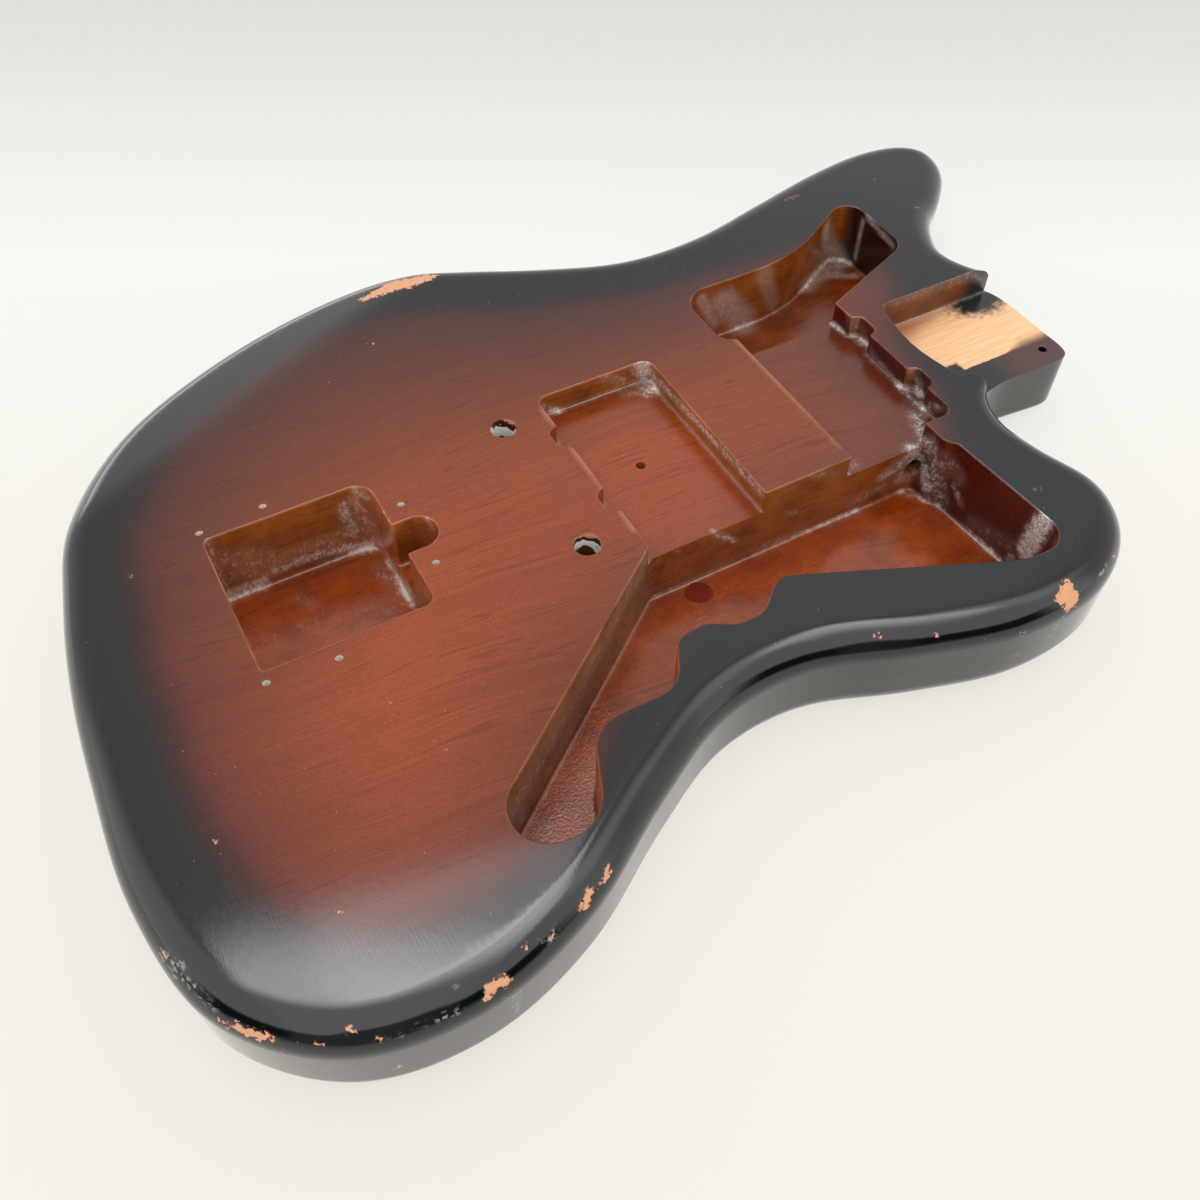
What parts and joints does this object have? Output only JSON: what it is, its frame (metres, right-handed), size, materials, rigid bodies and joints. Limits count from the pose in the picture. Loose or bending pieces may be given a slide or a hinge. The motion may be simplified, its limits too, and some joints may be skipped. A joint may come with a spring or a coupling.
{
  "type": "electric guitar body",
  "caption": "Offset-waist solid electric guitar body in worn sunburst lacquer, bare of hardware, with neck pocket, pickup, control and tremolo cavities.",
  "frame": {"origin": "on the flat back, on the neck's centre line, below the middle of the two bridge post holes", "axes": "+X along the strings towards the neck, +Y towards the bass strings, +Z out of the top; the body lies on its flat back"},
  "size_m": [0.4942, 0.3418, 0.045],
  "materials": {
    "burst_lacquer": "sunburst nitro-style lacquer, worn semi-gloss, black at the edges and clear red-brown in the middle",
    "plug_wood": "red-brown lacquer over end grain"
  },
  "bodies": {
    "root": {"bass_board": "burst_lacquer", "centre_board": "burst_lacquer", "treble_board": "burst_lacquer", "floor_plug": "plug_wood"}
  },
  "joints": []
}
